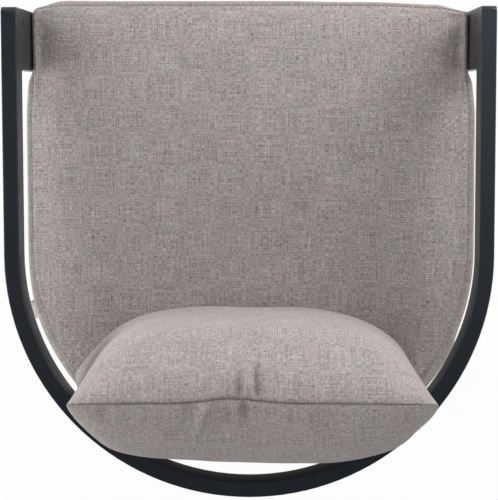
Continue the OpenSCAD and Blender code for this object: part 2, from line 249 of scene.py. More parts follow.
grain, grain_in, grain_out = effect_group(
    "beech_grain",
    [("Pale", "NodeSocketColor", BEECH_PALE), ("Dark", "NodeSocketColor", BEECH_DARK),
     ("Fleck", "NodeSocketColor", BEECH_FLECK), ("Line Spacing", "NodeSocketFloat", 0.006)],
    [("Color", "NodeSocketColor"), ("Roughness", "NodeSocketFloat"),
     ("Height", "NodeSocketFloat")])
lengthwise = stretched(grain, object_place(grain), (0.06, 1, 1))
line_scale = calculate(grain, "DIVIDE", 1.0, grain_in.outputs["Line Spacing"])
rings = grain_noise(grain, lengthwise, line_scale, 4.0, 0.6)
fibres = grain_noise(grain, lengthwise, 1400.0, 2.0, 0.6)
flecks = calculate(grain, "GREATER_THAN", grain_noise(
    grain, stretched(grain, object_place(grain), (0.35, 1.6, 1.6)), 600.0, 0.0), 0.68)
ringed = blend_colour(grain, rings, grain_in.outputs["Pale"], grain_in.outputs["Dark"])
flecked = calculate(grain, "MULTIPLY", flecks, 0.45)
fill_sockets(grain, grain_out, {
    "Color": blend_colour(grain, flecked, ringed, grain_in.outputs["Fleck"]),
    "Roughness": calculate(grain, "MULTIPLY_ADD", fibres, 0.2, 0.46),
    "Height": calculate(grain, "MULTIPLY_ADD", rings, 0.4, fibres)})

beech, shader = new_finish("oiled_beech", {"IOR": 1.5})
use_effect(beech, shader, grain, {"Line Spacing": 0.007}, GRAIN_DEPTH)

for node in BARE:
    soften_arrises(node, joint_arrises, SLAT_RADIUS, beech)

# ---------- bolts, nuts and screws ----------
# Zinc-plated bolts, nuts and countersunk screws hold the seat band, and blacked socket-head bolts
# the arms. They sit in drilled recesses, and turning them has left fine marks round their heads.

PLATED = ["band_bolts", "band_bolt_nuts", "slat_screws"]
BLACKED = ["arm_bolts", "arm_bolt_nuts"]
ZINC_BRIGHT = (0.62, 0.63, 0.66, 1)
ZINC_DULL = (0.34, 0.35, 0.37, 1)
OXIDE_BRIGHT = (0.022, 0.022, 0.025, 1)
OXIDE_DULL = (0.008, 0.008, 0.009, 1)
SCRATCH_DEPTH = 0.00003
STEEL_RADIUS = 0.0003      # of the fasteners' edges

plating, plating_in, plating_out = effect_group(
    "zinc_plating",
    [("Bright", "NodeSocketColor", ZINC_BRIGHT), ("Dull", "NodeSocketColor", ZINC_DULL),
     ("Bloom Size", "NodeSocketFloat", 0.004)],
    [("Color", "NodeSocketColor"), ("Roughness", "NodeSocketFloat"),
     ("Height", "NodeSocketFloat")])
bloom = grain_noise(
    plating, object_place(plating),
    calculate(plating, "DIVIDE", 1.0, plating_in.outputs["Bloom Size"]), 3.0, 0.6)
scratches = grain_noise(
    plating, stretched(plating, object_place(plating), (0.1, 1, 1)), 2600.0, 1.0)
fill_sockets(plating, plating_out, {
    "Color": blend_colour(
        plating, bloom, plating_in.outputs["Bright"], plating_in.outputs["Dull"]),
    "Roughness": calculate(plating, "MULTIPLY_ADD", bloom, 0.25, 0.2), "Height": scratches})

zinc, shader = new_finish("zinc_plated_steel", {"Metallic": 1.0})
use_effect(zinc, shader, plating, {"Bloom Size": 0.003}, SCRATCH_DEPTH)

# The arm bolts' near black is partly their oxide finish and partly painted shade, standing in for
# the shadow of a deeper recess.
black_oxide, shader = new_finish("black_oxide_steel", {"Metallic": 1.0})
use_effect(black_oxide, shader, plating, {
    "Bloom Size": 0.0025, "Bright": OXIDE_BRIGHT, "Dull": OXIDE_DULL}, SCRATCH_DEPTH)

for node in PLATED:
    soften_arrises(node, joint_arrises, STEEL_RADIUS, zinc)
for node in BLACKED:
    soften_arrises(node, joint_arrises, STEEL_RADIUS, black_oxide)

# ---------- seat cushion ----------
# A deep foam block in a sewn cover of linen-look polyester: top and bottom panels and a boxing
# strip, with a stitched seam at each edge. The front legs squeeze it, and it bulges behind them.

CUSHION_LOW, CUSHION_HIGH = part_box("cushion_cover")
LEG_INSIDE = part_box("left_front_leg")[0].x
LEG_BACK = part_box("left_front_leg")[1].y
CURVE_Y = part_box("arm_rail")[1].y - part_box("arm_rail")[1].x     # centre of the bent back
SEAM_HALF = 0.3300         # half the panel's width between its seams, and its radius behind
SEAM_FRONT = CUSHION_LOW.y - 0.0010
SEAM_TOP = CUSHION_HIGH.z - 0.0085
SEAM_BOTTOM = CUSHION_LOW.z + 0.003
FRONT_RADIUS = 0.015       # of the panel's front corners
OUTLINE_STEP = 0.0058      # between points along a seam
FILL_STEP = 0.0085         # between points inside a panel
EDGE_RINGS = (0.0, 0.0015, 0.0042, 0.0080, 0.0125, 0.0180)     # inward from a panel's seam
BOXING_SHARES = (
    0.0, 0.018, 0.042, 0.075, 0.12, 0.18, 0.25, 0.33, 0.42, 0.51, 0.60, 0.69, 0.77, 0.84, 0.90,
    0.945, 0.978, 1.0)     # heights of the boxing's rows of points, from the top seam down
LEG_DRAW = 0.0044          # how far the seam is drawn in between the legs
BACK_DRAW = 0.0020         # and round the back
RIGHT_SET_BACK = 0.0060    # how far the panel's right front corner stands back
SIDE_BULGE = 0.0095        # of the boxing beyond the seams
BACK_BULGE = 0.0155
MIDDLE_FLATTENED = 0.0080  # off the bulge in the middle of the back
RIGHT_REAR_BULGE = 0.0050  # added to it
RIGHT_SIDE_BULGE = 0.0018
FRONT_TAUT = 0.0015        # off the bulge along the front
RIGHT_FRONT_TAUT = 0.0022
CUSHION_CROWN = 0.017
EDGE_DIP = 0.0020          # of the panels beside their seams
SEAM_GROOVE = 0.0016
PUCKER_HEIGHT = 0.0004
LEG_GAP = 0.0014           # between a leg and the boxing
FREE_REACH = 0.3600        # how far from its middle the boxing may reach, where nothing holds it
BEHIND_LEG = 0.0125        # how far it may swell past a leg's inner face behind the leg
BAND_INSIDE = 0.3262       # how far it may reach low down, inside the seat band
SEAT_SLOPE = 0.0145        # how far the seat falls towards the pillow
LEG_DENT = 0.0075          # where a leg squeezes the top down
BROAD_DENT = 0.0035        # and round that place
HOLLOW_DEPTH = 0.0022      # of the filling's slow hills and hollows


def smooth(value, start, end):
    """A smooth step from 0 at start to 1 at end, for numbers and arrays."""
    share = np.clip((np.asarray(value, float) - start) / (end - start), 0, 1)
    return share * share * (3 - 2 * share)


def cushion_outline():
    """Points along the cushion's seam, counter-clockwise from the front's middle."""
    half, front, radius = SEAM_HALF, SEAM_FRONT, FRONT_RADIUS
    turn = math.radians(3)
    corner = np.arange(0, math.pi / 2 + 0.01, turn)
    behind = np.arange(0, math.pi + 0.01, turn)
    points = [(0.0, front)]
    points += [(half - radius + radius * math.sin(a), front + radius - radius * math.cos(a))
               for a in corner]
    points += [(half * math.cos(a), CURVE_Y + half * math.sin(a)) for a in behind]
    points += [(-half + radius - radius * math.cos(a), front + radius - radius * math.sin(a))
               for a in corner]
    loop = np.array(points + [points[0]])
    steps = np.hypot(*np.diff(loop, axis=0).T)
    loop = loop[np.append(steps > 1e-6, True)]
    along = np.append(0, np.cumsum(np.hypot(*np.diff(loop, axis=0).T)))
    count = int(along[-1] / OUTLINE_STEP)
    at = np.arange(count) * along[-1] / count
    return np.column_stack([np.interp(at, along, loop[:, 0]), np.interp(at, along, loop[:, 1])])


def outward(loop):
    """Unit vectors that point out of a counter-clockwise loop."""
    ahead = np.roll(loop, -1, 0) - np.roll(loop, 1, 0)
    normals = np.column_stack([ahead[:, 1], -ahead[:, 0]])
    return normals / np.hypot(*normals.T)[:, None]


def inside_loop(points, loop):
    """Which points lie inside a closed loop."""
    found = np.zeros(len(points), bool)
    ends = np.roll(loop, -1, 0)
    for (x0, y0), (x1, y1) in zip(loop, ends):
        if y0 == y1:
            continue
        crossing = (y0 > points[:, 1]) != (y1 > points[:, 1])
        found ^= crossing & (points[:, 0] < (x1 - x0) * (points[:, 1] - y0) / (y1 - y0) + x0)
    return found


def filled_loop(loop, step):
    """A triangulated sheet inside a loop, as extra points and faces that number the loop first."""
    low, high = loop.min(0), loop.max(0)
    xs = np.arange(low[0] + step / 2, high[0], step)
    ys = np.arange(low[1] + step / 2, high[1], step * 0.87)
    grid = np.array([(x + step / 2 * (row % 2), y) for row, y in enumerate(ys) for x in xs])
    margin = loop - outward(loop) * step * 0.7
    grid = grid[inside_loop(grid, margin)]
    points = np.vstack([loop, grid])
    edges = [(i, (i + 1) % len(loop)) for i in range(len(loop))]
    made = delaunay_2d_cdt([Vector(p) for p in points], edges, [], 1, 1e-7)
    faces = [tuple(made[3][v][0] for v in face) for face in made[2]]
    return grid, faces


def mesh_piece(name, points, faces, flat_places):
    """A mesh object. Flat_places gives each face's corners on the flat cloth, for its weave."""
    mesh = bpy.data.meshes.new(name)
    mesh.from_pydata([tuple(p) for p in points], [], faces)
    cloth = mesh.uv_layers.new(name="cloth")
    cloth.data.foreach_set("uv", np.array([c for f in flat_places for c in f], float).ravel())
    mesh.shade_smooth()
    made = bpy.data.objects.new(name, mesh)
    bpy.context.scene.collection.objects.link(made)
    return made


def mark_seam(obj, is_seam):
    """Creases the edges between seam points, and stores a seam mask for painted shade in the cloth.
    """
    ends = np.zeros(len(obj.data.edges) * 2, np.int32)
    obj.data.edges.foreach_get("vertices", ends)
    both = is_seam[ends].reshape(-1, 2).all(1)
    crease = obj.data.attributes.new("crease_edge", "FLOAT", "EDGE")
    crease.data.foreach_set("value", both.astype(np.float32))
    # The seam mask is 1 on the seam points, where the cloth's material darkens its colour as
    # painted shade of the groove.
    seam = obj.data.attributes.new("seam", "FLOAT", "POINT")
    seam.data.foreach_set("value", is_seam.astype(np.float32))


def places_of(obj):
    """A mesh's points as an array."""
    points = np.zeros(len(obj.data.vertices) * 3, np.float32)
    obj.data.vertices.foreach_get("co", points)
    return points.reshape(-1, 3).astype(float)


def move_points(obj, points):
    """Gives a mesh new places for its points."""
    obj.data.vertices.foreach_set("co", np.asarray(points, np.float32).ravel())
    obj.data.update()


def normals_of(obj):
    """The unit normal at each of a mesh's points."""
    normals = np.zeros(len(obj.data.vertices) * 3, np.float32)
    obj.data.vertex_normals.foreach_get("vector", normals)
    return normals.reshape(-1, 3).astype(float)


def subdivide(obj):
    """Rounds a mesh between its points, by one step of subdivision."""
    added = obj.modifiers.new("round", "SUBSURF")
    added.levels = added.render_levels = 1


def settled(obj):
    """A piece's points and normals with its modifiers on."""
    seen = obj.evaluated_get(bpy.context.evaluated_depsgraph_get())
    return places_of(seen), normals_of(seen)


def slow_noise(points, per_metre):
    """Smooth noise at each point. A larger number per metre makes its hills closer."""
    return np.array([noise.noise(Vector(place)) for place in points * per_metre])


def swell(obj, pressure, cap, frames, bending):
    """Fills a closed cover by cloth simulation, and holds each point within cap of its start."""
    start = places_of(obj)
    cloth = obj.modifiers.new("cloth", "CLOTH")
    cloth.settings.quality = 5
    cloth.settings.mass = 0.15
    cloth.settings.tension_stiffness = 30
    cloth.settings.compression_stiffness = 30
    cloth.settings.shear_stiffness = 12
    cloth.settings.bending_stiffness = bending
    cloth.settings.use_pressure = True
    cloth.settings.uniform_pressure_force = pressure
    cloth.settings.effector_weights.gravity = 0
    cloth.collision_settings.use_collision = False
    cloth.point_cache.frame_end = frames
    for frame_number in range(1, frames + 1):
        bpy.context.scene.frame_set(frame_number)
    move = settled(obj)[0] - start
    obj.modifiers.remove(cloth)
    bpy.context.scene.frame_set(1)
    length = np.linalg.norm(move, axis=1)[:, None] + 1e-9
    move_points(obj, start + move * (cap * np.tanh(length / cap) / length))


# The seam is cut straighter than the frame: drawn in between the legs and round the back
loop = cushion_outline()
round_back = np.degrees(np.arctan2(loop[:, 1] - CURVE_Y, np.abs(loop[:, 0])))
out = outward(loop)
loop -= out * (LEG_DRAW * (1 - smooth(loop[:, 1], LEG_BACK - 0.01, LEG_BACK + 0.08)) * (
    smooth(np.abs(loop[:, 0]), 0.28, 0.32)))[:, None]
loop -= out * (BACK_DRAW * smooth(round_back, 5, 30))[:, None]
loop[:, 1] += RIGHT_SET_BACK * smooth(-loop[:, 0], 0.17, 0.32) * (loop[:, 1] < -0.3)
out = outward(loop)
turns = len(loop)

# How far the boxing stands out along the seam: least at the front corners, most behind
to_corner = np.hypot(np.abs(loop[:, 0]) - SEAM_HALF, loop[:, 1] - SEAM_FRONT)
bulge_here = SIDE_BULGE + (BACK_BULGE - SIDE_BULGE) * smooth(round_back, 0, 24)
bulge_here += RIGHT_REAR_BULGE * smooth(round_back, 21, 29) * (loop[:, 0] < 0) * (
    1 - smooth(round_back, 50, 76))
bulge_here -= MIDDLE_FLATTENED * smooth(round_back, 45, 72)
bulge_here += RIGHT_SIDE_BULGE * smooth(loop[:, 1], LEG_BACK, LEG_BACK + 0.08) * (
    loop[:, 0] < 0) * (1 - smooth(loop[:, 1], 0, 0.1))
bulge_here -= FRONT_TAUT * smooth(-loop[:, 1], 0.34, 0.36)
bulge_here -= RIGHT_FRONT_TAUT * smooth(-loop[:, 0], 0.02, 0.17) * (loop[:, 1] < -0.3)
bulge_here *= 0.30 + 0.70 * smooth(to_corner, 0.006, 0.050)

inward = -sum(np.roll(out, k, 0) for k in range(-5, 6))
inward /= np.hypot(*inward.T)[:, None]
rings = [loop + inward * inset for inset in EDGE_RINGS]
fill, fill_faces = filled_loop(rings[-1], FILL_STEP)
seam_gap = np.concatenate([
    np.repeat(EDGE_RINGS, turns),
    np.array([np.hypot(*(loop - p).T).min() for p in fill])])
panel = np.vstack(rings + [fill])
crown = CUSHION_CROWN * (1 - np.exp(-seam_gap / 0.045)) - EDGE_DIP * np.exp(-seam_gap / 0.004)
top = np.column_stack([panel, SEAM_TOP + crown])
bottom = np.column_stack([panel - np.sign(panel) * 0.002, np.full(len(panel), SEAM_BOTTOM)])
rows = []
for share in BOXING_SHARES[1:-1]:
    bulge = math.sin(math.pi * share ** 0.47) ** 0.70 * bulge_here[:, None]
    height = SEAM_TOP + (SEAM_BOTTOM - SEAM_TOP) * share
    rows.append(np.column_stack([loop + out * bulge, np.full(turns, height)]))
points = np.vstack([top] + rows + [bottom])
row_start = [0] + [len(top) + turns * n for n in range(len(BOXING_SHARES) - 1)]
bottom_start = row_start[-1]
last_ring = turns * (len(EDGE_RINGS) - 1)

faces, flat_places = [], []
for start, flip in ((0, False), (bottom_start, True)):
    sheet = []
    for ring in range(len(EDGE_RINGS) - 1):
        for i in range(turns):
            j = (i + 1) % turns
            sheet.append((turns * ring + i, turns * ring + j,
                          turns * (ring + 1) + j, turns * (ring + 1) + i))
    sheet += [tuple(last_ring + v for v in face) for face in fill_faces]
    for face in sheet:
        face = face[::-1] if flip else face
        faces.append(tuple(start + v for v in face))
        flat_places.append([tuple(panel[v]) for v in face])
for row in range(len(BOXING_SHARES) - 1):
    above, below = row_start[row], row_start[row + 1]
    high = SEAM_TOP + (SEAM_BOTTOM - SEAM_TOP) * BOXING_SHARES[row]
    low = SEAM_TOP + (SEAM_BOTTOM - SEAM_TOP) * BOXING_SHARES[row + 1]
    for i in range(turns):
        j = (i + 1) % turns
        faces.append((above + i, below + i, below + j, above + j))
        s0, s1 = i * OUTLINE_STEP, (i + 1) * OUTLINE_STEP
        flat_places.append([(s0, high), (s0, low), (s1, low), (s1, high)])

cushion = mesh_piece("seat_cushion", points, faces, flat_places)
is_seam = np.zeros(len(points), bool)
is_seam[:turns] = True
is_seam[bottom_start:bottom_start + turns] = True
mark_seam(cushion, is_seam)
swell(cushion, pressure=4.0, cap=0.0045, frames=14, bending=0.5)

# The boxing is cut to its height and width: the filling lifts the panels and only dimples it
filled = places_of(cushion)
for first in [turns * ring for ring in range(len(EDGE_RINGS))] + row_start[1:-1] + [
        bottom_start + turns * ring for ring in range(len(EDGE_RINGS))]:
    row = slice(first, first + turns)
    pushed = ((filled[row] - points[row])[:, :2] * out).sum(1)
    filled[row, :2] = points[row, :2] + out * (pushed - pushed.mean())[:, None] * 0.6
move_points(cushion, filled)

# The legs press the sides in, the band holds the bottom, and the pillow's weight dents the top
points = places_of(cushion)
x, y, z = points.T
inner_gap = np.zeros(len(points))
inner_gap[:len(panel)] = seam_gap
beside_leg = 1 - smooth(y, LEG_BACK - 0.004, LEG_BACK + 0.041)
radius = np.where(y > CURVE_Y, np.hypot(x, y - CURVE_Y), np.abs(x))
widest = FREE_REACH - (FREE_REACH - LEG_INSIDE + LEG_GAP) * (y < LEG_BACK + 0.001)
widest = np.minimum(widest, LEG_INSIDE + BEHIND_LEG - (BEHIND_LEG + LEG_GAP) * beside_leg ** 1.5 + (
    1.0 * (y > -0.1)))
widest -= np.maximum(widest - BAND_INSIDE, 0) * (
    1 - smooth(z, CUSHION_LOW.z + 0.016, CUSHION_LOW.z + 0.055)) * (y > LEG_BACK)
share = np.minimum(1, widest / np.maximum(radius, 0.001))
x = x * share
y = np.where(y > CURVE_Y, CURVE_Y + (y - CURVE_Y) * share, y)
inside = smooth(inner_gap, 0.001, 0.014)
seat_slope = SEAT_SLOPE * smooth(y, -0.30, 0.16) * (1 - 0.7 * smooth(np.abs(x), 0.16, 0.31))
leg_dent = LEG_DENT * np.exp(-((np.abs(x) - 0.318) / 0.026) ** 2) * (
    1 - smooth(y, LEG_BACK - 0.02, LEG_BACK + 0.06))
broad_dent = BROAD_DENT * np.exp(
    -((np.abs(x) - 0.29) / 0.06) ** 2 - ((y - LEG_BACK + 0.01) / 0.08) ** 2)
hollows = slow_noise(np.column_stack([x, y, z]), 7)
z = z - (seat_slope + leg_dent + broad_dent - HOLLOW_DEPTH * hollows) * inside
move_points(cushion, np.column_stack([x, y, z]))

# The seams draw the cloth in, and it puckers a little beside them
points, normals = places_of(cushion), normals_of(cushion)
drawn = np.zeros(len(points))
pucker = np.array([
    noise.noise(Vector((i * 0.85, 0, 3))) + 0.6 * noise.noise(Vector((i * 0.31, 5, 3)))
    for i in range(turns)])
for first in (row_start[0], row_start[-1]):
    drawn[first:first + turns] = -SEAM_GROOVE * (1 + 0.35 * pucker)
for ring, depth in ((1, 0.3), (2, 0.9), (3, 1.0), (4, 0.7), (5, 0.35)):
    drawn[turns * ring:turns * (ring + 1)] += PUCKER_HEIGHT * depth * pucker
for row, depth in ((1, 0.3), (2, 0.7), (3, 1.0), (4, 0.9), (5, 0.7), (6, 0.4), (7, 0.2)):
    start = row_start[row]
    drawn[start:start + turns] += PUCKER_HEIGHT * depth * np.roll(pucker, 3)
move_points(cushion, points + normals * drawn[:, None])
subdivide(cushion)

# Heathered linen look: uneven warp and weft threads, slubs, and a drift between warm and cool
LINEN = (0.350, 0.317, 0.304, 1)
LINEN_WARM = (0.369, 0.309, 0.301, 1)
LINEN_COOL = (0.339, 0.321, 0.297, 1)
WEAVE_DEPTH = 0.00035

weave, weave_in, weave_out = effect_group(
    "linen_weave",
    [("Place", "NodeSocketVector", (0, 0, 0)), ("Seam", "NodeSocketFloat", 0.0),
     ("Thread", "NodeSocketFloat", 0.0011),
     ("Main", "NodeSocketColor", LINEN), ("Warm", "NodeSocketColor", LINEN_WARM),
     ("Cool", "NodeSocketColor", LINEN_COOL), ("Contrast", "NodeSocketFloat", 1.0)],
    [("Color", "NodeSocketColor"), ("Roughness", "NodeSocketFloat"),
     ("Height", "NodeSocketFloat")])
flat = weave_in.outputs["Place"]
warp = grain_noise(weave, stretched(weave, flat, (1300, 22, 0)), 1.0, 1.0, 0.6)
weft = grain_noise(weave, stretched(weave, flat, (20, 1300, 0)), 1.0, 1.0, 0.6)
warp_slubs = grain_noise(weave, stretched(weave, flat, (1400, 160, 0)), 1.0, 0.0)
weft_slubs = grain_noise(weave, stretched(weave, flat, (150, 1400, 0)), 1.0, 0.0)
drift = grain_noise(weave, flat, 26.0, 2.0, 0.5)
cloud = grain_noise(weave, flat, 22.0, 2.0, 0.5)
threads = calculate(weave, "ADD", warp, weft)
slubs = calculate(weave, "ADD", warp_slubs, weft_slubs)
tone = calculate(weave, "MULTIPLY_ADD", threads, 0.9, calculate(weave, "MULTIPLY", slubs, 0.8))
tone = calculate(weave, "MULTIPLY_ADD", cloud, 0.16, tone)
tone = calculate(weave, "SUBTRACT", tone, 1.78)
tone = calculate(weave, "MULTIPLY", tone, weave_in.outputs["Contrast"])
tone = calculate(weave, "ADD", tone, 1.0)
# Painted shade: the seam input darkens the tone along the seams, where the groove would lie in
# shadow.
left_by_seam_shade = calculate(weave, "SUBTRACT", 1.0, weave_in.outputs["Seam"])
tone = calculate(weave, "MULTIPLY", tone, left_by_seam_shade)
warmth = add_node(weave, "ShaderNodeMapRange", {
    "Value": drift, "From Min": 0.35, "From Max": 0.65}).outputs[0]
hue = blend_colour(weave, warmth, weave_in.outputs["Cool"], weave_in.outputs["Warm"])
hue = blend_colour(weave, 0.35, hue, weave_in.outputs["Main"])
grey = add_node(weave, "ShaderNodeCombineColor", {"Red": tone, "Green": tone, "Blue": tone})
per_metre = calculate(weave, "DIVIDE", math.pi, weave_in.outputs["Thread"])
across_cloth = add_node(weave, "ShaderNodeSeparateXYZ", {0: flat})
waves = [
    calculate(weave, "SINE", calculate(weave, "MULTIPLY", across_cloth.outputs[axis], per_metre))
    for axis in (0, 1)]
over_under = calculate(weave, "MULTIPLY", waves[0], waves[1])
fill_sockets(weave, weave_out, {
    "Color": blend_colour(weave, 1.0, hue, grey.outputs[0], "MULTIPLY"),
    "Roughness": calculate(weave, "MULTIPLY_ADD", slubs, 0.08, 0.80),
    "Height": calculate(weave, "MULTIPLY_ADD", over_under, 0.35, threads)})


def linen(name, contrast, seam_shade, tint=None, narrowing=1.0):
    """The cover cloth as a material, its weave laid flat on each panel, in one tint if given."""
    made, shader = new_finish(name, {
        "IOR": 1.45, "Specular IOR Level": 0.25, "Sheen Weight": 0.18, "Sheen Roughness": 0.45,
        "Sheen Tint": (0.95, 0.93, 0.90, 1)})
    tree = made.node_tree
    flat = add_node(tree, "ShaderNodeUVMap", uv_map="cloth").outputs[0]
    # The seam mask, narrowed by a power and scaled by seam_shade, becomes painted shade along the
    # seams.
    seam = add_node(tree, "ShaderNodeAttribute", attribute_name="seam").outputs["Fac"]
    seam = calculate(tree, "POWER", seam, narrowing)
    colours = {"Main": tint, "Warm": tint, "Cool": tint} if tint else {}
    use_effect(made, shader, weave, {
        "Place": flat, "Seam": calculate(tree, "MULTIPLY", seam, seam_shade), "Contrast": contrast,
        **colours}, WEAVE_DEPTH)
    return made


# The third value is how dark the painted shade along the seams is on each.
seat_linen = linen("seat_linen", 1.42, 0.22)
boxing_linen = linen("boxing_linen", 0.75, 0.12)
cushion.data.materials.append(seat_linen)
cushion.data.materials.append(boxing_linen)
boxing_faces = (len(BOXING_SHARES) - 1) * turns
cushion.data.polygons.foreach_set("material_index", np.repeat(
    (0, 1), (len(cushion.data.polygons) - boxing_faces, boxing_faces)).astype(np.int32))
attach(cushion, "seat_cushion")
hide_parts("cushion_cover", "cushion_foam")

# ---------- top-stitching round the cushion ----------
# A row of twisted polyester thread, sewn by machine through the seam allowance along the edge.

STITCH_PITCH = 0.0070
STITCH_LENGTH = 0.0046
THREAD = 0.0012
THREAD_COLOUR = (0.085, 0.076, 0.074, 1)
THREAD_WORN = (0.14, 0.13, 0.125, 1)
PLY_DEPTH = 0.0001


def lengths_along(path):
    """How far each of a path's points is from its start, along it."""
    return np.append(0, np.cumsum(np.linalg.norm(np.diff(path, axis=0), axis=1)))


def place_along(at, along, line):
    """The place or direction at a length, or an array of them, along a line."""
    return np.stack([np.interp(at, along, line[:, k]) for k in range(3)], -1)


def tube_faces(first, rings, around):
    """The faces of a capped tube, whose loops of points follow one another from a number on."""
    faces = []
    for ring in range(first, first + around * (rings - 1), around):
        for corner in range(around):
            a, b = ring + corner, ring + (corner + 1) % around
            faces.append((a, b, b + around, a + around))
    faces.append(tuple(range(first + around - 1, first - 1, -1)))
    faces.append(tuple(range(first + around * (rings - 1), first + around * rings)))
    return faces


def stitch_row(name, path, facing, pitch, length, thick):
    """A row of short stitches along a closed or open path, each dipping in at its ends."""
    along = lengths_along(path)
    count = int(along[-1] / pitch)
    points, faces = [], []
    rises = ((-0.5, 0.35, -0.4), (-0.3, 0.8, 0.25), (0, 1.0, 0.45), (0.3, 0.8, 0.25),
             (0.5, 0.35, -0.4))     # each loop's share of the length, its fatness and its lift
    for number in range(count):
        centre = (number + 0.5) * along[-1] / count
        spine = place_along(np.array([centre + length * rise[0] for rise in rises]), along, path)
        up = place_along(centre, along, facing)
        up /= np.linalg.norm(up)
        run = spine[-1] - spine[0]
        side = np.cross(up, run)
        side /= np.linalg.norm(side) + 1e-12
        first = len(points)
        for spot, (_, fat, lift) in zip(spine, rises):
            for corner in range(6):
                a = corner * math.pi / 3
                offset = side * math.cos(a) + up * math.sin(a)
                points.append(spot + up * thick * lift + offset * thick * 0.5 * fat)
        faces += tube_faces(first, len(rises), 6)
    flat_places = [[(points[v][0], points[v][1]) for v in face] for face in faces]
    return mesh_piece(name, points, faces, flat_places)


twist, twist_in, twist_out = effect_group(
    "twisted_thread",
    [("Thread", "NodeSocketColor", THREAD_COLOUR), ("Worn", "NodeSocketColor", THREAD_WORN),
     ("Ply", "NodeSocketFloat", 0.0006)],
    [("Color", "NodeSocketColor"), ("Height", "NodeSocketFloat")])
ply_scale = calculate(twist, "DIVIDE", 1.0, twist_in.outputs["Ply"])
plies = add_node(twist, "ShaderNodeTexWave", {
    "Vector": object_place(twist), "Scale": ply_scale, "Distortion": 2.0},
    bands_direction="DIAGONAL").outputs["Fac"]
fading = grain_noise(twist, object_place(twist), 60.0, 2.0)
fill_sockets(twist, twist_out, {
    "Color": blend_colour(
        twist, fading, twist_in.outputs["Thread"], twist_in.outputs["Worn"]), "Height": plies})

thread, shader = new_finish("polyester_thread", {"Roughness": 0.6})
use_effect(thread, shader, twist, {"Ply": 0.0006}, PLY_DEPTH)

points, normals = settled(cushion)
seam = np.append(np.arange(turns), 0)
top_stitches = stitch_row(
    "seat_cushion_stitching", points[seam], normals[seam], STITCH_PITCH, STITCH_LENGTH, THREAD)
top_stitches.data.materials.append(thread)
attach(top_stitches, "seat_cushion")

# ---------- cushion ties ----------
# Two short straps of the cover cloth, folded and pressed, with their ends sewn to the boxing.
# They would button round the seat band, and here they hang loose, the left one bowed outward.

TIE_WIDTH = 0.026
TIE_THICK = 0.0016
TIE_CLOTH = (0.43, 0.415, 0.40, 1)


def round_path(knots, count):
    """A smooth path through knots, as count points (Catmull-Rom)."""
    knots = np.array(knots, float)
    ends = np.vstack([2 * knots[0] - knots[1], knots, 2 * knots[-1] - knots[-2]])
    found = []
    for at in np.linspace(0, len(knots) - 1 - 1e-9, count):
        k, t = int(at), at - int(at)
        a, b, c, d = ends[k:k + 4]
        found.append(0.5 * (2 * b + (c - a) * t + (2 * a - 5 * b + 4 * c - d) * t * t
                            + (3 * b - a - 3 * c + d) * t ** 3))
    return np.array(found)


def skin_rows(name, sections):
    """A closed tube mesh over a list of equal loops, capped at both ends."""
    around = len(sections[0])
    faces = tube_faces(0, len(sections), around)
    lengths = lengths_along(np.array(sections)[:, 0])
    round_by = np.linspace(0, TIE_WIDTH * 2, around)
    flat_places = [[(round_by[v % around], lengths[v // around]) for v in face] for face in faces]
    return mesh_piece(name, np.vstack(sections), faces, flat_places)


def cushion_strap(name, angle, knots, skew):
    """A flat strap at an angle round the cushion, through knots of (radius, height)."""
    path = round_path(knots, 40)
    turn = math.radians(angle)
    out_way = np.array([math.cos(turn), math.sin(turn), 0])
    side_way = np.array([-math.sin(turn), math.cos(turn), 0])
    runs = np.gradient(path, axis=0)
    runs /= np.hypot(*runs.T)[:, None]
    sections = []
    for number, ((reach, height), (dr, dz)) in enumerate(zip(path, runs)):
        facing = -dz * out_way + dr * np.array([0, 0, 1.0])
        middle = np.array([0, CURVE_Y, 0]) + out_way * reach + np.array([0, 0, height])
        middle = middle + side_way * skew * number / len(path)
        half, thick = TIE_WIDTH / 2, TIE_THICK / 2
        loop_shape = []
        for across, lift in ((-1, 0), (-0.97, 0.8), (-0.86, 1), (-0.76, 0.72), (-0.4, 1), (0, 1.05),
                             (0.4, 1), (0.76, 0.72), (0.86, 1), (0.97, 0.8), (1, 0), (0.97, -0.8),
                             (0.4, -1), (-0.4, -1), (-0.97, -0.8)):
            loop_shape.append(middle + side_way * half * across + facing * thick * lift)
        sections.append(np.array(loop_shape))
    return skin_rows(name, sections)


tie_linen = linen("tie_linen", 0.8, 0.0, TIE_CLOTH)
for name, node, angle, skew, knots in (
        ("left_tie_strap", "left_cushion_tie", 16.5, 0.002,
         ((0.3385, 0.4290), (0.3440, 0.4240), (0.3515, 0.4130), (0.3520, 0.4000), (0.3465, 0.3850),
          (0.3375, 0.3680), (0.3315, 0.3540), (0.3310, 0.3475))),
        ("right_tie_strap", "right_cushion_tie", 152.5, -0.003,
         ((0.3420, 0.4250), (0.3480, 0.4190), (0.3520, 0.4080), (0.3500, 0.3950), (0.3440, 0.3800),
          (0.3360, 0.3650), (0.3315, 0.3530), (0.3310, 0.3480)))):
    strap = cushion_strap(name, angle, knots, skew)
    subdivide(strap)
    strap.data.materials.append(tie_linen)
    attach(strap, "seat_cushion")
    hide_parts(node)

# ---------- zips ----------
# Nylon coil zips with steel sliders, one sewn along the boxing at the back of the cushion and one
# under the pillow. Their woven tapes are turned in, and a row of thread holds each edge.

TAPE_HALF = 0.0085         # half the width that shows of both tapes
COIL_PITCH = 0.0016
COIL_HALF = 0.0026
COIL_BAR = (0.00058, 0.0009)    # half the thickness of a turn's bar, along the zip and upwards
COIL_LIFT = 0.0012         # of the bars' middle off the tape
TAPE_THICK = 0.0007
TAPE_PITCH = 0.0042        # of the stitches along the tapes
TAPE_STITCH = 0.0030
TAPE_THREAD = 0.0008
SLIDER_RADIUS = 0.0005     # of its edges
ZIP_RADIUS = 0.350         # from the centre of the bent back to outside the cushion
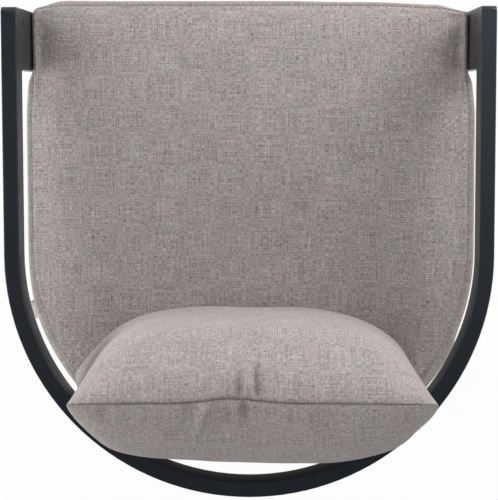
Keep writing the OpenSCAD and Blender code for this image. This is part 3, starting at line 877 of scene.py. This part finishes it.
# The slider's body, bridge and pull: start, end, half width at each, bottom and top
SLIDER_BLOCKS = (
    (-0.0050, 0.0050, 0.0040, 0.0030, 0.0004, 0.0034),
    (0.0000, 0.0035, 0.0012, 0.0012, 0.0030, 0.0052),
    (0.0015, 0.0200, 0.0028, 0.0028, 0.0042, 0.0052))
TAPE_COLOUR = (0.20, 0.19, 0.185, 1)
COIL_COLOUR = (0.060, 0.057, 0.056, 1)
COIL_SCUFFED = (0.11, 0.105, 0.1, 1)


def laid_on(surface, spots, lift):
    """Points moved to the nearest place on a surface, lifted off it, with its normals."""
    places, facings = [], []
    for spot in spots:
        hit, facing, _, _ = surface.find_nearest(Vector(spot))
        places.append(np.array(hit) + np.array(facing) * lift)
        facings.append(np.array(facing))
    return np.array(places), np.array(facings)


def zip_fastener(name, host, route, body, node):
    """A closed zip laid along a route on a sewn piece: tapes, coil, stitches, slider and pull."""
    surface = BVHTree.FromObject(host, bpy.context.evaluated_depsgraph_get())
    middle, facing = laid_on(surface, route, 0.0008)
    run = np.gradient(middle, axis=0)
    run /= np.linalg.norm(run, axis=1)[:, None]
    side = np.cross(facing, run)
    shares = (-1, -0.94, -0.5, -0.09, 0, 0.09, 0.5, 0.94, 1)
    lifts = (-0.0006, 0.0006, 0.0009, 0.0011, 0.0004, 0.0011, 0.0009, 0.0006, -0.0006)
    columns = []
    for share, lift in zip(shares, lifts):
        columns.append(laid_on(surface, middle + side * TAPE_HALF * share, lift)[0])
    points = np.stack(columns, 1).reshape(-1, 3)
    wide = len(shares)
    faces = [(r * wide + c, r * wide + c + 1, (r + 1) * wide + c + 1, (r + 1) * wide + c)
             for r in range(len(route) - 1) for c in range(wide - 1)]
    along = lengths_along(middle)
    flat_places = [
        [(shares[v % wide] * TAPE_HALF, along[v // wide]) for v in face] for face in faces]
    tape = mesh_piece(name + "_tape", points, faces, flat_places)
    sheet = tape.modifiers.new("thick", "SOLIDIFY")
    sheet.thickness = TAPE_THICK
    sheet.offset = -1
    tape.data.materials.append(tape_twill)

    # The coil's turns, each a rounded bar across the middle
    count = int(along[-1] / COIL_PITCH)
    points, faces = [], []
    for number in range(count):
        at = (number + 0.5) * along[-1] / count
        spot, way, up = [place_along(at, along, line) for line in (middle, run, facing)]
        across = np.cross(up, way)
        first = len(points)
        for share, fat in ((-1, 0.5), (-0.8, 1), (0.8, 1), (1, 0.5)):
            for corner in range(6):
                a = corner * math.pi / 3
                ring = way * math.cos(a) * COIL_BAR[0] + up * math.sin(a) * COIL_BAR[1]
                points.append(spot + up * COIL_LIFT + across * COIL_HALF * share + ring * fat)
        faces += tube_faces(first, 4, 6)
    flat_places = [[(points[v][0], points[v][2]) for v in face] for face in faces]
    coil = mesh_piece(name + "_coil", points, faces, flat_places)
    coil.data.materials.append(nylon)
    stitches = []
    for label, share in (("upper", 0.80), ("lower", -0.80)):
        line, up = laid_on(surface, middle + side * TAPE_HALF * share, 0.0010)
        row = stitch_row(
            f"{name}_{label}_stitching", line, up, TAPE_PITCH, TAPE_STITCH, TAPE_THREAD)
        row.data.materials.append(thread)
        stitches.append(row)

    # The slider stands at one end of the coil, with its pull lying along the tape
    spot, way, up = middle[3], run[3], facing[3]
    across = np.cross(up, way)
    points, faces = [], []
    for start, end, half, end_half, low, high in SLIDER_BLOCKS:
        first = len(points)
        rim = ((start, -half), (start, half), (end, end_half), (end, -end_half))
        for height in (low, high):
            for ahead, aside in rim:
                points.append(spot + way * ahead + across * aside + up * height)
        for face in (
                (3, 2, 1, 0), (4, 5, 6, 7), (0, 1, 5, 4), (1, 2, 6, 5), (2, 3, 7, 6), (3, 0, 4, 7)):
            faces.append(tuple(first + c for c in face))
    flat_places = [[(points[v][0], points[v][2]) for v in face] for face in faces]
    slider = mesh_piece(name + "_slider", points, faces, flat_places)
    edge = slider.modifiers.new("round", "BEVEL")
    edge.width = SLIDER_RADIUS
    edge.segments = 2
    slider.data.materials.append(zinc)
    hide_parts(node)
    for piece in [tape, coil, slider] + stitches:
        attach(piece, body)


tape_twill = linen("zip_tape", 0.7, 0.0, TAPE_COLOUR)
coil_marks, coil_in, coil_out = effect_group(
    "moulded_nylon",
    [("Fresh", "NodeSocketColor", COIL_COLOUR), ("Scuffed", "NodeSocketColor", COIL_SCUFFED),
     ("Scuff Size", "NodeSocketFloat", 0.006)],
    [("Color", "NodeSocketColor"), ("Roughness", "NodeSocketFloat")])
scuffs = grain_noise(coil_marks, object_place(coil_marks), calculate(
    coil_marks, "DIVIDE", 1.0, coil_in.outputs["Scuff Size"]), 3.0, 0.6)
fill_sockets(coil_marks, coil_out, {
    "Color": blend_colour(
        coil_marks, scuffs, coil_in.outputs["Fresh"], coil_in.outputs["Scuffed"]),
    "Roughness": calculate(coil_marks, "MULTIPLY_ADD", scuffs, 0.3, 0.3)})
nylon, shader = new_finish("nylon_coil", {"IOR": 1.53})
use_effect(nylon, shader, coil_marks, {"Scuff Size": 0.004})

zip_low, zip_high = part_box("cushion_zip")
zip_turn = math.asin(zip_high.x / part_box("arm_rail")[1].x)
round_the_back = np.linspace(math.pi / 2 - zip_turn, math.pi / 2 + zip_turn, 120)
route = np.column_stack([
    ZIP_RADIUS * np.cos(round_the_back), CURVE_Y + ZIP_RADIUS * np.sin(round_the_back),
    np.full(120, (zip_low.z + zip_high.z) / 2)])
zip_fastener("cushion_zip", cushion, route, "seat_cushion", "cushion_zip")

# ---------- back pillow ----------
# Two panels of the same linen look, sewn together on all four edges without piping and stuffed
# with loose fibre. It stands on the seat, leans on the bent back, and its lower edge spreads.

PILLOW_LOW, PILLOW_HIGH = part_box("pillow_cover")
PILLOW_X = (PILLOW_LOW.x + PILLOW_HIGH.x) / 2
PILLOW_Y = (PILLOW_LOW.y + PILLOW_HIGH.y) / 2
PILLOW_HEIGHT = PILLOW_HIGH.z - PILLOW_LOW.z
TOP_HALF = 0.2386          # half the width between the top corners
FRONT_DEPTH = 0.1248       # of the front panel's belly from the seam
BACK_DEPTH = 0.0797
CUT_STEP = 0.0056          # between points inside a panel
FOLD_STEP = 0.0024         # and where the folds are
FOLDED = (-0.032, 0.084)   # that stretch of the top seam
SEAM_STEPS = np.array([0, 0.0013, 0.0036, 0.0072, 0.0120])     # and beside its seams
RAIL_INSIDE = 0.3266       # how far from the bent back's centre it may reach, below the arms
RAIL_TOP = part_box("arm_rail")[1].z
LOW_SPREAD = 0.0117        # how much further each side seam stands low down
LEFT_SPREAD, RIGHT_SPREAD = 0.0290, -0.0040     # added at the pillow's bottom corners
NIP = 0.0060               # how far the folds draw the top seam forward
TOP_SAG = 0.0080           # of the top seam between its corners
FULLNESS = 0.95            # of the panels before the filling swells them
BACK_TWIST = 0.010         # how much further back the back panel stands on the right
BASE_CUT = 0.013           # how much the seat flattens off the round bottom
BASE_ROUND = 0.020         # and how softly its edge rolls under
LUMP_HEIGHT = 0.0022
GATHER_HEIGHT = 0.0006
PILLOW_GROOVE = 0.0003


def panel_spacing(cut, fine=(0, 0)):
    """Distances across a panel from its middle, -1 to 1, closer beside the seams and the folds."""
    start = SEAM_STEPS[-1] + CUT_STEP
    middle = [start]
    while middle[-1] < cut - start:
        in_folds = fine[0] < middle[-1] - cut / 2 < fine[1]
        middle.append(middle[-1] + (FOLD_STEP if in_folds else CUT_STEP))
    middle = start + (np.array(middle) - start) * (cut - 2 * start) / (middle[-1] - start)
    return np.concatenate([SEAM_STEPS, middle, cut - SEAM_STEPS[::-1]]) / (cut / 2) - 1


grid_u, grid_v = np.meshgrid(
    panel_spacing(2 * TOP_HALF, [x - PILLOW_X for x in FOLDED]), panel_spacing(PILLOW_HEIGHT))
rows_up, wide = grid_u.shape
u, v = grid_u.ravel(), grid_v.ravel()

# Where the seams run: the pillow is wider low down, and its top edge leans forward
half_wide = TOP_HALF + LOW_SPREAD * (1 - ((v + 1) / 2) ** 2)
half_wide += np.where(u > 0, LEFT_SPREAD, RIGHT_SPREAD) * (1 - smooth(v, -1.0, -0.25))
seam_x = u * half_wide * (1 - 0.012 * np.abs(v) ** 9)
seam_y = 0.0271 - 0.0164 * v - 0.0214 * v * v
seam_y -= NIP * np.exp(-((seam_x - 0.025) / 0.045) ** 2) * smooth(v, 0.2, 1.0)
seam_z = PILLOW_HEIGHT * (v * (1 - 0.014 * np.abs(u) ** 9) + 1) / 2
seam_z -= TOP_SAG * (1 - u * u) * smooth(v, 0.0, 1.0)

# The two panels are blown out from the seams, the front one further
def loft(towards, sideways, towards_top, side_power, side_blunt, top_power, top_blunt):
    """How full a panel is, 0 at its seams to 1. Its belly sits off centre by two shares."""
    a = towards - sideways * (1 - towards ** 2)
    b = v + towards_top * (1 - v * v)
    across = (1 - np.abs(a) ** side_power).clip(0) ** side_blunt
    return across * (1 - np.abs(b) ** top_power).clip(0) ** top_blunt


front_loft = loft(u, 0.060, 0.165, 3.95, 0.84, 3.6, 0.505)
back_loft = loft(u, 0.170, 0.068, 3.9, 0.62, 3.04, 0.586)
front = np.column_stack([seam_x, seam_y - FULLNESS * FRONT_DEPTH * front_loft, seam_z])
back = np.column_stack([seam_x, seam_y + FULLNESS * BACK_DEPTH * back_loft, seam_z])
is_edge = ((np.abs(grid_u) > 0.9999) | (np.abs(grid_v) > 0.9999)).ravel()
inner = np.flatnonzero(~is_edge)
front_number = np.arange(len(front))
back_number = front_number.copy()
back_number[inner] = len(front) + np.arange(len(inner))
points = np.vstack([front, back[inner]])
cells = (np.arange(rows_up - 1)[:, None] * wide + np.arange(wide - 1)).reshape(-1, 1)
front_cells = cells + [0, 1, wide + 1, wide]
back_cells = front_cells[:, ::-1]
faces = front_number[front_cells].tolist() + back_number[back_cells].tolist()
flat_places = np.column_stack([u * TOP_HALF, v * PILLOW_HEIGHT / 2])[
    np.vstack([front_cells, back_cells])]

pillow = mesh_piece("back_pillow", points, faces, flat_places)
swell(pillow, pressure=5.0, cap=0.0065, frames=20, bending=1.0)

# The sewn edges keep their place: what the filling did to them is taken off across each panel
moved = places_of(pillow) - points
seam_far = np.minimum((1 - np.abs(u)) * TOP_HALF, (1 - np.abs(v)) * PILLOW_HEIGHT / 2)
across, up = (grid_u[..., None] + 1) / 2, (grid_v[..., None] + 1) / 2
shaped = points.copy()
for numbers, reach in ((front_number, -FRONT_DEPTH), (back_number, BACK_DEPTH)):
    d = moved[numbers].reshape(rows_up, wide, 3)
    edges = (1 - across) * d[:, :1] + across * d[:, -1:] + (1 - up) * d[:1] + up * d[-1:]
    edges -= (1 - across) * ((1 - up) * d[0, 0] + up * d[-1, 0])
    edges -= across * ((1 - up) * d[0, -1] + up * d[-1, -1])
    grown = points[numbers] + (d - edges).reshape(-1, 3) * smooth(seam_far, 0.0, 0.05)[:, None]
    off_seam = grown[:, 1] - seam_y
    grown[:, 1] = seam_y + off_seam * reach / (off_seam.min() if reach < 0 else off_seam.max())
    grown[:, 1] -= BACK_TWIST * u * back_loft * (reach > 0)
    shaped[numbers] = grown

# It stands on the seat: the bottom flattens and its edge rolls under
x, y, z = shaped.T
z = z - BASE_CUT
z = (z + np.sqrt(z ** 2 + BASE_ROUND ** 2)) / 2
z = z - z.min()
z = z * PILLOW_HEIGHT / z.max()
x, y, z = x + PILLOW_X, y + PILLOW_Y, z + PILLOW_LOW.z
radius = np.hypot(x, y - CURVE_Y)
limit = RAIL_INSIDE + 0.06 * smooth(z, RAIL_TOP + 0.002, RAIL_TOP + 0.050)
kept = np.where(radius > limit, limit / radius, 1)
x = x * kept
y = CURVE_Y + (y - CURVE_Y) * kept
move_points(pillow, np.column_stack([x, y, z]))

# Soft ridges and creases run down from the top seam, where the filling has been pushed aside.
# Each is (place along the seam, slant, half width, height, length down the cloth).
FOLDS = {
    "front": (
        (0.0062, 0.10, 0.0038, -0.0090, 0.028), (-0.0041, 0.12, 0.0050, 0.0080, 0.050),
        (-0.0132, 0.02, 0.0040, -0.0095, 0.050), (0.0170, 0.50, 0.0090, 0.0042, 0.085),
        (-0.1500, 0.1, 0.0150, -0.0026, 0.070), (0.1300, -0.1, 0.0160, -0.0026, 0.070)),
    "back": (
        (0.0043, -0.06, 0.0038, -0.0080, 0.046), (0.0146, -0.04, 0.0048, 0.0036, 0.040),
        (0.0340, 0.05, 0.0095, -0.0052, 0.064), (0.0514, 0.20, 0.0050, 0.0056, 0.056),
        (0.0700, 0.10, 0.0080, -0.0045, 0.044), (0.1800, 0.05, 0.0070, -0.0050, 0.032),
        (-0.1150, 0.0, 0.0120, -0.0030, 0.050))}
points, normals = places_of(pillow), normals_of(pillow)
raised = np.zeros(len(points))
cloth_places = {}
for numbers, side in ((front_number, "front"), (back_number, "back")):
    grown = points[numbers].reshape(rows_up, wide, 3)
    steps = np.linalg.norm(np.diff(grown[::-1], axis=0), axis=2)
    down = np.vstack([np.zeros((1, wide)), np.cumsum(steps, axis=0)])[::-1].ravel()
    steps = np.linalg.norm(np.diff(grown, axis=1), axis=2)
    sideways = np.hstack([np.zeros((rows_up, 1)), np.cumsum(steps, axis=1)])
    sideways = (sideways - sideways[:, wide // 2:wide // 2 + 1]).ravel()
    cloth_places[side] = np.column_stack([sideways + (side == "back"), down])
    here = np.zeros(len(numbers))
    for at, slant, half, rise, length in FOLDS[side]:
        off = (points[numbers][:, 0] - at - slant * down) / half
        fade = (1 - smooth(down, length * 0.5, length * 1.3)) * smooth(down, 0.001, 0.007)
        here += rise * np.exp(-off * off) * fade
    raised[numbers] = np.where(is_edge, 0, here)
lumps = slow_noise(points, 9) + 0.35 * slow_noise(points, 24)
clear_of_seam = np.zeros(len(points))
for numbers in (front_number, back_number):
    clear_of_seam[numbers] = smooth(seam_far, 0.0, 0.030)
raised += LUMP_HEIGHT * lumps * clear_of_seam
move_points(pillow, points + normals * raised[:, None])

# Each panel's threads run as they did before it was filled: lengths on it are the cloth's own
laid = np.vstack([cloth_places["front"][front_cells], cloth_places["back"][back_cells]])
pillow.data.uv_layers["cloth"].data.foreach_set("uv", laid.ravel())

# The seam lies in a narrow groove between the panels, and puckers them
points, normals = places_of(pillow), normals_of(pillow)
in_groove = np.zeros(len(points), bool)
in_groove[front_number] = is_edge
gathers = slow_noise(points, 95)
near_edge = (SEAM_STEPS[-1] - seam_far).clip(0) / SEAM_STEPS[-1]
drawn = np.zeros(len(points))
for numbers in (front_number, back_number):
    drawn[numbers] = GATHER_HEIGHT * gathers[numbers] * np.where(is_edge, 0, near_edge)
drawn[in_groove] = -PILLOW_GROOVE
move_points(pillow, points + normals * drawn[:, None])
# The groove points carry the seam mask, and the pillow's linen paints a narrow, dark line of shade
# there.
mark_seam(pillow, in_groove)
subdivide(pillow)
pillow_linen = linen("pillow_linen", 1.22, 0.75, narrowing=5.0)
pillow.data.materials.append(pillow_linen)
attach(pillow, "back_pillow")
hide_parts("pillow_cover", "pillow_fill")

# Its zip runs along the underside, a little behind the seam
zip_low, zip_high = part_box("pillow_zip")
route = np.column_stack([
    np.linspace(zip_low.x, zip_high.x, 80), np.full(80, (zip_low.y + zip_high.y) / 2),
    np.full(80, PILLOW_LOW.z - 0.01)])
zip_fastener("pillow_zip", pillow, route, "back_pillow", "pillow_zip")

# ---------- floor, light and camera ----------
# A plain pale floor in a white room with a dark ceiling. Large soft boxes hang behind, over and
# beside the chair, and three low ones shine under its arms. The camera looks almost straight down.

FLOOR_COLOUR = (0.90, 0.90, 0.90, 1)
SHADOW_SHARE = 0.06        # how much of the floor's own shading shows on its white
LIT_PLACE = Vector((0, -0.05, 0.5))     # what every lamp is turned to
WALL_WHITE = 1.0           # how bright the walls look, level with the chair
CEILING_DARK = 0.06        # and the ceiling over it
WALL_FILL = 0.35           # how much the walls light the chair


def looked_at(tree):
    """1 where a surface is seen straight, mirrored or through glass, and 0 where it only lights."""
    rays = tree.nodes.new("ShaderNodeLightPath").outputs
    return calculate(
        tree, "ADD", rays["Is Camera Ray"],
        calculate(tree, "ADD", rays["Is Glossy Ray"], rays["Is Transmission Ray"]), clamp=True)


bpy.ops.mesh.primitive_plane_add(size=40, location=(0, 0, cad_box[0].z - 0.0006))
floor = bpy.context.object
floor.name = "studio_floor"
floor_paint = bpy.data.materials.new("studio_floor")
floor_paint.use_nodes = True
tree = floor_paint.node_tree
tree.nodes.clear()
matt = add_node(tree, "ShaderNodeBsdfDiffuse", {"Color": FLOOR_COLOUR})
white = add_node(tree, "ShaderNodeEmission", {"Color": (1, 1, 1, 1), "Strength": 1.0})
seen = calculate(tree, "MULTIPLY", looked_at(tree), 1.0 - SHADOW_SHARE)
mixed = add_node(tree, "ShaderNodeMixShader", {0: seen, 1: matt.outputs[0], 2: white.outputs[0]})
surface = tree.nodes.new("ShaderNodeOutputMaterial")
tree.links.new(mixed.outputs[0], surface.inputs["Surface"])
floor.data.materials.append(floor_paint)

room = bpy.data.worlds.new("studio")
room.use_nodes = True
tree = room.node_tree
tree.nodes.clear()
height = add_node(tree, "ShaderNodeSeparateXYZ", {
    0: tree.nodes.new("ShaderNodeTexCoord").outputs["Generated"]}).outputs["Z"]
seen = looked_at(tree)
walls_seen, walls_fill = [
    add_node(tree, "ShaderNodeMapRange", {
        "Value": height, "From Min": low, "From Max": high, "To Min": below, "To Max": above},
        interpolation_type="SMOOTHSTEP").outputs[0]
    for low, high, below, above in (
        (0.17, 0.55, WALL_WHITE, CEILING_DARK), (0.10, 0.60, WALL_FILL, 0.0))]
strength = calculate(
    tree, "ADD", calculate(tree, "MULTIPLY", walls_seen, seen),
    calculate(tree, "MULTIPLY", walls_fill, calculate(tree, "SUBTRACT", 1.0, seen)))
ambient = add_node(tree, "ShaderNodeBackground", {"Color": (1, 1, 1, 1), "Strength": strength})
surface = tree.nodes.new("ShaderNodeOutputWorld")
tree.links.new(ambient.outputs[0], surface.inputs["Surface"])
bpy.context.scene.world = room


def soft_box(name, place, size, watts):
    """A square area lamp at a place, turned to the chair, as its object."""
    lamp = bpy.data.lights.new(name, "AREA")
    lamp.shape = "SQUARE"
    lamp.size = size
    lamp.energy = watts
    holder = bpy.data.objects.new(name, lamp)
    bpy.context.scene.collection.objects.link(holder)
    holder.location = place
    towards = LIT_PLACE - Vector(place)
    holder.rotation_euler = towards.to_track_quat("-Z", "Y").to_euler()
    return holder


# The one behind is screened from the lacquer, so that the bent back stays dark
soft_box("back_box", (0, 2.2, 3.8), 2.0, 34).visible_glossy = False
for name, place, size, watts in (
        ("back_left_box", (1.9, 1.7, 2.6), 1.4, 9),
        ("left_box", (2.2, -0.2, 2.6), 1.4, 14),
        ("right_box", (-2.2, -0.2, 2.6), 1.4, 19),
        ("top_box", (-0.5, -1.1, 4.4), 1.6, 20),
        ("over_box", (0, 0.3, 4.6), 3.0, 6),
        ("front_box", (0, -2.8, 2.6), 1.6, 19),
        ("low_left_box", (2.4, 0.1, 0.95), 1.3, 29),
        ("low_front_left_box", (1.6, -1.8, 0.95), 1.3, 20),
        ("low_front_right_box", (-1.6, -1.8, 0.95), 1.3, 43)):
    soft_box(name, place, size, watts)

EYE = Vector((-0.0326, -0.2411, 2.9863))
AIM = Vector((-0.0005, -0.0216, 0.590))
ROLL = 0.0015
FOCAL_LENGTH = 121.5
SENSOR = 36.0

look = (AIM - EYE).normalized()
across = look.cross(Vector((-ROLL, -1, 0))).normalized()
upward = across.cross(look)
camera_data = bpy.data.cameras.new("camera")
camera_data.lens = FOCAL_LENGTH
camera_data.sensor_width = SENSOR
camera = bpy.data.objects.new("camera", camera_data)
bpy.context.scene.collection.objects.link(camera)
turn = camera.matrix_world.copy()
for row in range(3):
    turn[row][0] = across[row]
    turn[row][1] = upward[row]
    turn[row][2] = -look[row]
    turn[row][3] = EYE[row]
camera.matrix_world = turn
bpy.context.scene.camera = camera

bpy.context.scene.view_settings.view_transform = "Standard"
